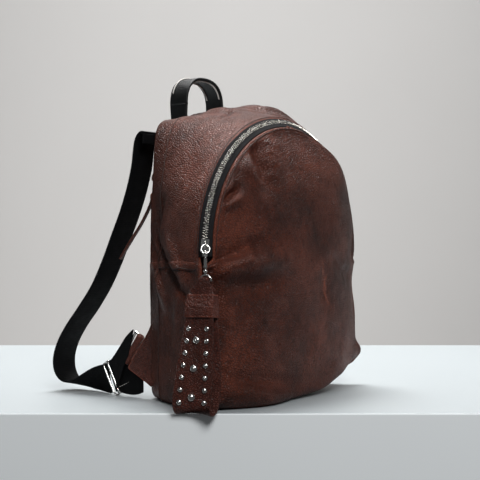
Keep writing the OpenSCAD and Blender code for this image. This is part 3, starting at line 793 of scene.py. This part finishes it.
# ---------------------------------------------------------------- hardware kept from the frame
for node in ("zip_slider", "slider_ring", "clasp_hook", "clasp_trigger", "swivel_stem", "dee_ring", "zip_stops",
             "ring_left", "ring_right", "back_slider"):
    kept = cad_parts[node]
    kept.data.materials.clear()
    kept.data.materials.append(NICKEL)
    kept.data.polygons.foreach_set("use_smooth", [True] * len(kept.data.polygons))
    kept.data.set_sharp_from_angle(angle=math.radians(38))
    bevel = kept.modifiers.new("edges", "BEVEL")
    bevel.width = 0.00022
    bevel.segments = 2
    bevel.limit_method = "ANGLE"
    bevel.angle_limit = math.radians(40)


# ---------------------------------------------------------------- wrist loop
DEE = np.array([-0.1556, -0.06869, 0.13989])
FOB_TURN, FOB_LEAN = math.radians(200), math.radians(6)


def turned(x, y, angle):
    return x * math.cos(angle) - y * math.sin(angle), x * math.sin(angle) + y * math.cos(angle)


def fob_point(p):
    """From the wrist loop's own frame, in mm with X away from the bag, to the row frame."""
    x, y, z = np.asarray(p, float) / 1000
    x, z = turned(x, z, FOB_LEAN)
    return DEE + np.array([*turned(x, y, FOB_TURN), z])


def fob_vector(v):
    return fob_point(v) * 1000 - fob_point((0, 0, 0)) * 1000


# Centre line of the loop: x, y, z, width, turn about the upright in degrees
LOOP_FRONT = [(6.0, -3.0, -36, 34.5, -15), (6.3, -3.8, -50, 35.5, -11), (6.8, -5.0, -72, 37.5, -3),
              (7.4, -6.6, -95, 39.5, 5), (7.4, -7.8, -116, 41, 11), (7.0, -8.4, -126, 41.5, 13)]
LOOP_FOLD = [(5.2, -8.2, -133.0, 41.5, 13), (0.8, -7.2, -136.6, 41.5, 12), (-3.8, -5.2, -134.0, 41, 10)]
LOOP_BACK = [(-5.8, -3.2, -128, 41, 8), (-6.4, -1.8, -112, 40, 5), (-6.0, -1.0, -92, 39, 1), (-5.6, -1.4, -68, 37, -6),
             (-5.4, -2.4, -50, 36, -11), (-5.4, -3.0, -36, 35, -15)]


def loop_stations(rows, steps=8):
    path = smooth_path(rows, steps)
    centres = np.array([fob_point(p[:3]) for p in path])
    wides = np.array([fob_vector((-math.sin(math.radians(p[4])), math.cos(math.radians(p[4])), 0)) for p in path])
    return frames_along(centres, wides), path[:, 3] / 1000


loop_frames, loop_widths = loop_stations(LOOP_FRONT + LOOP_FOLD + LOOP_BACK)
v, f = sweep(loop_frames, [rounded_section(w, 0.0026) for w in loop_widths])
loop = piece("wrist_loop_strap", v, f, FOB_LEATHER, "fob")
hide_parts("fob_loop")

# Tab: a folded trapezoid over the dee bar, widening down to the keeper
tab_rows = [(-2.6, -1.6, -9, 25, 0), (-3.0, -1.0, -2, 15, 0), (-3.4, -0.8, 1.0, 12, 0), (-2.2, -0.8, 3.0, 11, 0),
            (0.0, -0.8, 3.8, 10.6, 0), (2.2, -0.8, 3.0, 11, 0), (3.4, -0.8, 1.0, 12, 0), (3.0, -1.0, -2, 14.5, 0),
            (2.4, -1.4, -6, 20.0, -3), (2.5, -2.2, -11, 28.0, -8), (3.0, -2.8, -14, 31.0, -10),
            (3.8, -3.0, -18, 31.5, -11)]
tab_frames, tab_widths = loop_stations(tab_rows, 5)
v, f = sweep(tab_frames, [rounded_section(w, 0.0018) for w in tab_widths])
fob_tab = piece("wrist_loop_tab", v, f, FOB_LEATHER, "fob")
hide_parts("fob_tab")

# Keeper: a wrinkled sleeve round both legs
keeper_z = np.linspace(-14.8, -39.0, 34)
ring_u = np.linspace(0, 2 * np.pi, 72, endpoint=False)
kg = []
for i, z in enumerate(keeper_z):
    h = i / (len(keeper_z) - 1)
    half_w = mix(15.8, 17.4, h)
    half_t = mix(4.6, 7.9, smooth(h, 0, 0.7))
    turn = math.radians(mix(-12, -15, h))
    row = []
    for a in ring_u:
        x = half_t * power(math.cos(a), 0.22)
        y = half_w * power(math.sin(a), 0.28)
        wrinkle = (0.30 * math.sin(2.3 * y + 1.7 * math.sin(0.5 * z)) * math.sin(0.55 * z + 0.6 * y)
                   + 0.22 * math.sin(1.1 * z + 0.9 * y))
        x += np.sign(x) * wrinkle * (0.4 + 0.6 * math.sin(math.pi * h))
        x, y = turned(x, y, turn)
        row.append(fob_point((x, y - 3.0, z)))
    kg.append(row)
kg = np.array(kg)
keeper_wear = np.repeat(np.where((np.arange(34) < 2) | (np.arange(34) > 31), 0.8, 0.15), 72)
keeper = piece("wrist_loop_keeper", kg.reshape(-1, 3), flip(grid_faces(34, 72, 0, True)), FOB_LEATHER, None,
               keeper_wear)
thicken(keeper, 0.0014)
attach(keeper, "fob")
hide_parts("fob_keeper")


# Dome studs, set through the front leg of the loop
def on_front_leg(y, z):
    """Centre and outward direction on the outer face of the front leg, at a height and across."""
    path = smooth_path(LOOP_FRONT, 12)
    k = int(np.argmin(np.abs(path[:, 2] - z)))
    x, yc, _, _, turn = path[k]
    a = math.radians(turn)
    out = np.array([math.cos(a), math.sin(a), 0.0])
    wide = np.array([-math.sin(a), math.cos(a), 0.0])
    return np.array([x, yc, z]) + wide * y + out * 1.2, out


def dome(centre, out, radius):
    centre = fob_point(centre)
    out = unit(fob_vector(out))
    side = unit(np.cross(out, (0.0, 0.0, 1.0)))
    up = np.cross(side, out)
    verts, rings = [], 9
    profile = [(1.0, -0.15), (1.04, 0.0), (1.0, 0.12)] + [(math.cos(b), 0.12 + 0.66 * math.sin(b))
                                                        for b in np.linspace(0.12, math.pi / 2 * 0.94, rings)]
    for r, h in profile:
        for a in np.linspace(0, 2 * math.pi, 28, endpoint=False):
            verts.append(centre + (side * math.cos(a) * r + up * math.sin(a) * r + out * h) * radius / 1000)
    faces = grid_faces(len(profile), 28, 0, True)
    faces.append(tuple(range(len(verts) - 28, len(verts))))
    return verts, faces


stud_rows = [-50.8 - 12.9 * i for i in range(7)]
small = merged("studs_small", [dome(*on_front_leg(side * mix(10.9, 13.2, i / 6), z), 2.9)
                               for i, z in enumerate(stud_rows) for side in (-1, 1)], NICKEL, "fob")
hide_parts("small_studs")
large = merged("studs_large", [dome(*on_front_leg(-0.5, stud_rows[i] - dz), 4.1)
                               for i, dz in ((1, -0.8), (3, 3.2), (5, 7.4))], NICKEL, "fob")
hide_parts("large_studs")


# ---------------------------------------------------------------- top handle
a = np.linspace(0, np.pi, 61)
handle_path = np.stack([-0.035 * power(np.cos(a), 0.8), 0.070 + 0 * a, 0.350 + 0.03425 * power(np.sin(a), 0.8)], -1)
handle_frames = frames_along(handle_path, np.array((0.0, 1.0, 0.0)))
v, f = sweep(handle_frames, [rounded_section(0.027, 0.0034, steps=4)] * 61)
handle = piece("top_handle", v, f, BLACK, "handle")
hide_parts("handle")
anchor_parts = []
for side in (-1, 1):
    path = smooth_path([(side * 0.0350, 0.0700, 0.3506), (side * 0.0352, 0.0698, 0.343), (side * 0.0356, 0.0690, 0.333),
                        (side * 0.0360, 0.0680, 0.322)], 6)
    anchor_parts.append(sweep(frames_along(path, np.array((0.0, 1.0, 0.0))),
                              [rounded_section(w, 0.0034, 0.45, 4) for w in np.linspace(0.027, 0.024, len(path))]))
anchors = merged("handle_anchor_straps", anchor_parts, BLACK, "bag")
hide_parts("handle_anchors")
for label, across, face in (("rear", 0.0088, 1), ("rear_under", 0.0096, -1), ("front_under", -0.0100, -1)):
    row = np.array([c + w * across + t * 0.0017 * face for c, w, t in handle_frames[7:-7]])
    ups = np.array([t * face for c, w, t in handle_frames[7:-7]])
    stitches("handle_stitches_" + label, row, ups, WHITE_THREAD, "handle", 0.0058, 0.0034, 0.00085)

# ---------------------------------------------------------------- shoulder straps
STRAP_WIDTH, STRAP_THICK = 0.036, 0.0024
STRAP = [(-86, 66.5, 311, 0), (-86, 72.0, 311.5, 0), (-86, 78.0, 306, 0), (-86, 81.5, 296, 0), (-86, 85, 272, 0),
         (-87, 92, 245, 0), (-88, 102, 218, 0), (-90, 114, 190, 0), (-92, 127, 160, 0), (-95, 142, 130, 0),
         (-98, 160, 104, 2), (-101, 179, 80, 2), (-103, 192, 59, 2), (-104, 198, 39, 3), (-105, 194, 22, 5),
         (-105.5, 181, 11.5, 10), (-106, 163, 9.5, 20), (-106, 147, 13, 40), (-106, 132, 17, 66), (-106, 118, 19.5, 88)]


def flipped(points, side):
    """Left-hand points for side -1, and their mirror for side 1."""
    points = np.array(points, float)
    if side > 0:
        points[..., 0] *= -1
    return points


def strap_piece(name, rows, side, body, node):
    path = smooth_path(rows, 7)
    turn = np.radians(path[:, 3])
    lean = math.radians(29)
    wides = flipped(np.stack([np.cos(turn), -np.sin(turn) * math.sin(lean), -np.sin(turn) * math.cos(lean)], -1), side)
    frames = frames_along(flipped(path[:, :3], side) / 1000, wides)
    v, f = sweep(frames, [rounded_section(STRAP_WIDTH, STRAP_THICK)] * len(frames))
    made = piece(name, v, flip(f) if side > 0 else f, WEBBING, body)
    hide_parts(node)
    return made


for side, hand in ((-1, "left"), (1, "right")):
    strap = strap_piece("shoulder_strap_" + hand, STRAP, side, None, "strap_" + hand)
    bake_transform(strap)
    strap_piece("strap_root_" + hand + "_sewn", [(-86, 66.9, 309.4, 0), (-86, 67.0, 304, 0), (-86, 67.4, 298, 0)],
                side, "bag", "strap_root_" + hand)
    webs = []
    for low, high, x0, x1 in (
            ([(103.5, 5), (98.5, 14), (94, 26), (89, 38), (82, 50)],
             [(121, 36.5), (110, 45.5), (98, 57), (86.5, 71), (75.5, 80)], -107.2, -110.4),
            ([(103.5, 5), (90, 3), (76, 3), (64.5, 6.5)],
             [(117, 31), (100, 42), (82, 41), (64.5, 35)], -106.8, -105.4)):
        lo, hi = smooth_path(low, 8), smooth_path(high, 8)
        flat = mix(lo[:, None, :], hi[:, None, :], np.linspace(0, 1, 16)[None, :, None])
        x = mix(x0, x1, smooth(112 - flat[..., 0], 0, 18))
        webs.append(flipped(np.concatenate([x[..., None], flat], -1), side) / 1000)
    for label, g in zip(("fold", "tail"), webs):
        web = panel("webbing_" + label + "_" + hand, g[:, ::-1] if side < 0 else g, WEBBING,
                    "strap_" + hand, 0.0020)
        if label == "fold":
            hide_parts("strap_end_" + hand)
    line = flipped([(-107.6, 101.6, 10.5), (-106.9, 91, 15), (-106.6, 80.8, 20.3)], side) / 1000
    stitches("webbing_stitches_" + hand, smooth_path(line, 8), np.tile((float(side), 0.0, 0.0), (17, 1)),
             WHITE_THREAD, "strap_" + hand, 0.0036, 0.0024, 0.0004)

    # Adjuster: a slim wire frame round the webbing, leaning with it
    lean = math.radians(29)
    up = np.array([0, math.sin(lean), math.cos(lean)])
    along = np.array([0, math.cos(lean), -math.sin(lean)])
    flat_x = np.array([1.0, 0, 0])
    centre = flipped((-106, 112.5, 20.6), side) / 1000
    loops = []
    for away in (-0.0038, 0.0038):
        corners = []
        for k in range(64):
            b = 2 * math.pi * k / 64
            corners.append(centre + along * away + flat_x * 0.0040 * power(math.cos(b), 0.5)
                           + up * 0.0203 * power(math.sin(b), 0.35))
        path = np.array(corners)
        stations = []
        for k in range(65):
            t = unit(path[(k + 1) % 64] - path[(k - 1) % 64])
            stations.append((path[k % 64], along, np.cross(t, along)))
        loops.append(sweep(stations, [circle(0.0011, 10)] * 65, False))
    for end in (-1, 1):
        a0 = centre + up * 0.0203 * end
        stations = [(a0 + along * q, flat_x, up) for q in (-0.0046, 0.0046)]
        loops.append(sweep(stations, [rounded_section(0.0060, 0.0018, 0.4, 3)] * 2))
    slide = merged("adjuster_" + hand, loops, NICKEL, "glide_" + hand)
    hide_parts("glide_" + hand)

    # Triangle of leather at the corner: it bends away from the seam, over a roll that holds the ring
    edge_line = [(50.5, 86.5), (54, 80), (62, 67.5), (72, 51.5), (81.5, 36.5), (82.2, 34.8), (81.2, 33.6), (72, 28),
                 (61, 21), (51, 14.5)]
    edge_line = at_steps(edge_line, np.linspace(0, 9, 73))
    seam_line = np.stack([np.full(73, 48.5), np.linspace(86.5, 14.5, 73)], -1)
    flat = mix(edge_line[:, None, :], seam_line[:, None, :], np.linspace(0, 1, 24)[None, :, None])
    x = -(108.0 + 5.6 * smooth(flat[..., 0], 48, 84) + 0.5 * np.sin(flat[..., 1] * 0.16))
    g = flipped(np.concatenate([x[..., None], flat], -1), side) / 1000
    wear = np.zeros(g.shape[:2])
    wear[:, :2] = 1.0
    tri_piece = panel("corner_triangle_" + hand, g if side < 0 else g[:, ::-1], FOB_LEATHER, "bag", 0.0022,
                      wear if side < 0 else wear[:, ::-1])
    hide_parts("tab_" + hand)

    tilt = math.radians(36)
    centre = flipped((-107.4, 78.5, 56.5), side) / 1000
    axis = np.array([0, -math.sin(tilt), math.cos(tilt)])
    out = np.array([0, math.cos(tilt), math.sin(tilt)])
    stations, sections = [], []
    for k, q in enumerate(np.linspace(-0.0200, 0.0200, 41)):
        r = 0.0046 * (1 - 0.10 * (abs(q) > 0.0192)) + 0.00012 * math.sin(k * 2.1)
        stations.append((centre + axis * q, np.array([1.0, 0, 0]), out))
        sections.append(circle(r, 28))
    v, f = sweep(stations, sections)
    roll = piece("corner_roll_" + hand, v, f, FOB_LEATHER, "bag", [0.3] * len(v))
    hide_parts("tab_roll_" + hand)

# ---------------------------------------------------------------- back pocket zip
parts = []
for low in (-1, 1):
    zc = YOKE_Z + low * 0.0062
    g = np.stack([np.broadcast_to(np.linspace(-0.088, 0.088, 60)[None, :], (6, 60)),
                  np.full((6, 60), BACK_Y + 0.0032),
                  np.broadcast_to((zc + np.linspace(-0.0035, 0.0035, 6))[:, None], (6, 60))], -1)
    parts.append((g.reshape(-1, 3), grid_faces(6, 60)))
back_tape = merged("back_pocket_tape", parts, TAPE, None)
thicken(back_tape, 0.0008)
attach(back_tape, "bag")
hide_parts("back_zip_tape")
parts = []
for k in range(124):
    x = -0.0872 + k * 0.00142
    low = 1 if k % 2 else -1
    centre = np.array([x, BACK_Y + 0.0040, YOKE_Z + low * 0.0009])
    stations = [(centre + np.array([0, 0, low * d]), np.array([half, 0, 0]) / 1000, np.array([0, high, 0]) / 1000)
                for d, half, high in BACK_TOOTH]
    v, f = sweep(stations, [chamfered(0.5)] * len(BACK_TOOTH))
    parts.append((v, f if low < 0 else flip(f)))
back_teeth = merged("back_pocket_teeth", parts, TEETH, "bag")
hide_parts("back_zip_teeth")
pull_rows = smooth_path([(-80, 70.6, 242, 5.4), (-81, 72.0, 236, 6.5), (-83, 74, 226, 6.5), (-88, 83, 205, 6.2),
                         (-95, 94, 184, 6.8), (-102, 105, 162, 6.0)], 7)
pull_frames = frames_along(pull_rows[:, :3] / 1000, np.array((1.0, 0.25, 0.0)))
v, f = sweep(pull_frames, [rounded_section(q[3] / 1000, 0.0022) for q in pull_rows])
pull = piece("back_pocket_pull", v, f, FOB_LEATHER, "back_pull", [0.25] * len(v))
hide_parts("back_pull")

# ---------------------------------------------------------------- stitching on the panels
# Front panel: two rows, left and right of the zip, meeting at the crown
rim_left = arch(np.linspace(-1, 181, 500), -0.0076 - 0.0052, 0.0)
flat_g, flat_n = front_grid.reshape(-1, 3), grid_normals(front_grid).reshape(-1, 3)


def nearest(points, g, n):
    """The nearest grid point's plane, to lay a row of stitches on a surface."""
    out_p, out_n = [], []
    for p in points:
        d = ((g - p) ** 2).sum(-1)
        k = np.argpartition(d, 4)[:4]
        w = 1 / (d[k] + 1e-9)
        q = (g[k] * w[:, None]).sum(0) / w.sum()
        m = unit((n[k] * w[:, None]).sum(0))
        out_p.append(p + m * ((q - p) @ m))
        out_n.append(m)
    return np.array(out_p), np.array(out_n)


p, n = nearest(rim_left, flat_g, flat_n)
front_row = stitches("stitches_front_edge", p, n, BROWN_THREAD, None)
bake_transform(front_row)
all_g = np.concatenate([g.reshape(-1, 3) for g in (gusset_g, left_g, right_g)])
all_n = np.concatenate([grid_normals(g).reshape(-1, 3) for g in (gusset_g, left_g, right_g)])
p, n = nearest(arch(np.linspace(-1, 181, 500), 0.0046 + 0.0052, 0.0), all_g, all_n)
stitches("stitches_gusset_edge", p, n, BROWN_THREAD, "bag")
for hand, g, row in (("left", left_g, len(left_g) - 10), ("right", right_g, 9)):
    p, n = grid_at(g, np.full(60, row), np.linspace(6, 84, 60))
    stitches("stitches_side_seam_" + hand, p, n, BROWN_THREAD, "bag")
    p, n = grid_at(g, np.linspace(8, len(g) - 8, 120), np.full(120, 83.5))
    stitches("stitches_strip_" + hand, p, n, BROWN_THREAD, "bag")
p, n = grid_at(gusset_g, np.linspace(10, 200, 160), np.full(160, 83.5))
stitches("stitches_strip_upper", p, n, BROWN_THREAD, "bag")
for label, level in (("top", 3.0), ("foot", 30.5)):
    p, n = grid_at(kg, np.full(60, level), np.linspace(0, 71, 60))
    outward = n if n[0] @ (p[0] - kg.mean((0, 1))) >= 0 else -n
    stitches("stitches_keeper_" + label, p, outward, BROWN_THREAD, "fob", 0.0028, 0.0020, 0.0003)

# ---------------------------------------------------------------- camera, table and light
VIEW = math.radians(53)
look = np.array([math.sin(VIEW), math.cos(VIEW), 0.0])
right = np.array([math.cos(VIEW), -math.sin(VIEW), 0.0])
camera = add_object("camera", bpy.data.cameras.new("camera"))
camera.location = (*(look * -1.37)[:2], 0.173)
camera.rotation_euler = (math.pi / 2, 0, -VIEW)
camera.data.lens = 85
camera.data.sensor_width = 36
camera.data.shift_x = -2 / 480
camera.data.shift_y = 10 / 480
bpy.context.scene.camera = camera


def plain(name, colour, rough):
    m = Nodes(name)
    tint = m.ramp(m.noise(3, 3), [(0.3, tuple(v * 0.985 for v in colour)), (0.7, colour)])
    return m.finish(Base_Color=tint, Roughness=rough, Normal=m.bump(m.noise(260, 3), 0.04, 0.0004))


def slab(name, near, far, half, top, deep, material, front_material=None):
    corners = [look * d + right * s for d, s in ((near, -half), (near, half), (far, half), (far, -half))]
    verts = [(*c[:2], z) for z in (top - deep, top) for c in corners]
    faces = [(3, 2, 1, 0), (4, 5, 6, 7), (0, 1, 5, 4), (1, 2, 6, 5), (2, 3, 7, 6), (3, 0, 4, 7)]
    mesh = bpy.data.meshes.new(name)
    mesh.from_pydata(verts, [], faces)
    mesh.materials.append(material)
    if front_material:
        mesh.materials.append(front_material)
        mesh.polygons[2].material_index = 1
    made = add_object(name, mesh)
    bevel = made.modifiers.new("edges", "BEVEL")
    bevel.width = 0.0015
    bevel.segments = 2


# The table's top and front are one white paint: the top is painted darker as painted shade and the front painted
# lighter as painted light, to set their brightness under the lamps.
slab("table", -0.17, 0.69, 2.4, 0.0, 0.35, plain("table_top_painted_shade", (0.40, 0.435, 0.45), 0.5),
     plain("table_front_painted_light", (0.90, 0.94, 0.955), 0.55))
slab("wall", 3.2, 3.25, 6.0, 4.0, 6.0, plain("wall_paint", (0.46, 0.45, 0.44), 0.9))


def lamp(name, at, aim, size, power_w, colour=(1, 1, 1)):
    light = bpy.data.lights.new(name, "AREA")
    light.shape = "RECTANGLE"
    light.size, light.size_y = size, size
    light.energy = power_w
    light.color = colour
    made = add_object(name, light)
    made.location = at
    made.rotation_euler = Vector(np.array(aim) - np.array(at)).to_track_quat("-Z", "Y").to_euler()


def place(side, forward, up):
    p = right * side + look * forward
    return (p[0], p[1], up)


lamp("top", place(-0.1, 0.30, 1.75), (0, 0, 0.2), 0.55, 23, (1.0, 0.99, 0.975))
lamp("front", place(0.5, -1.9, 1.6), (0, 0, 0.05), 0.9, 40)
lamp("backdrop", place(0.0, 0.9, 2.3), place(0, 3.2, -1.0), 1.6, 92)
lamp("backdrop_low", place(-0.3, 1.3, -0.7), place(-0.3, 3.2, 0.2), 1.2, 24)
world = bpy.data.worlds.new("world")
bpy.context.scene.world = world
world.use_nodes = True
sky = world.node_tree.nodes["Background"].inputs
sky["Color"].default_value = (0.50, 0.51, 0.52, 1)
sky["Strength"].default_value = 0.16
bpy.context.scene.view_settings.view_transform = "Standard"
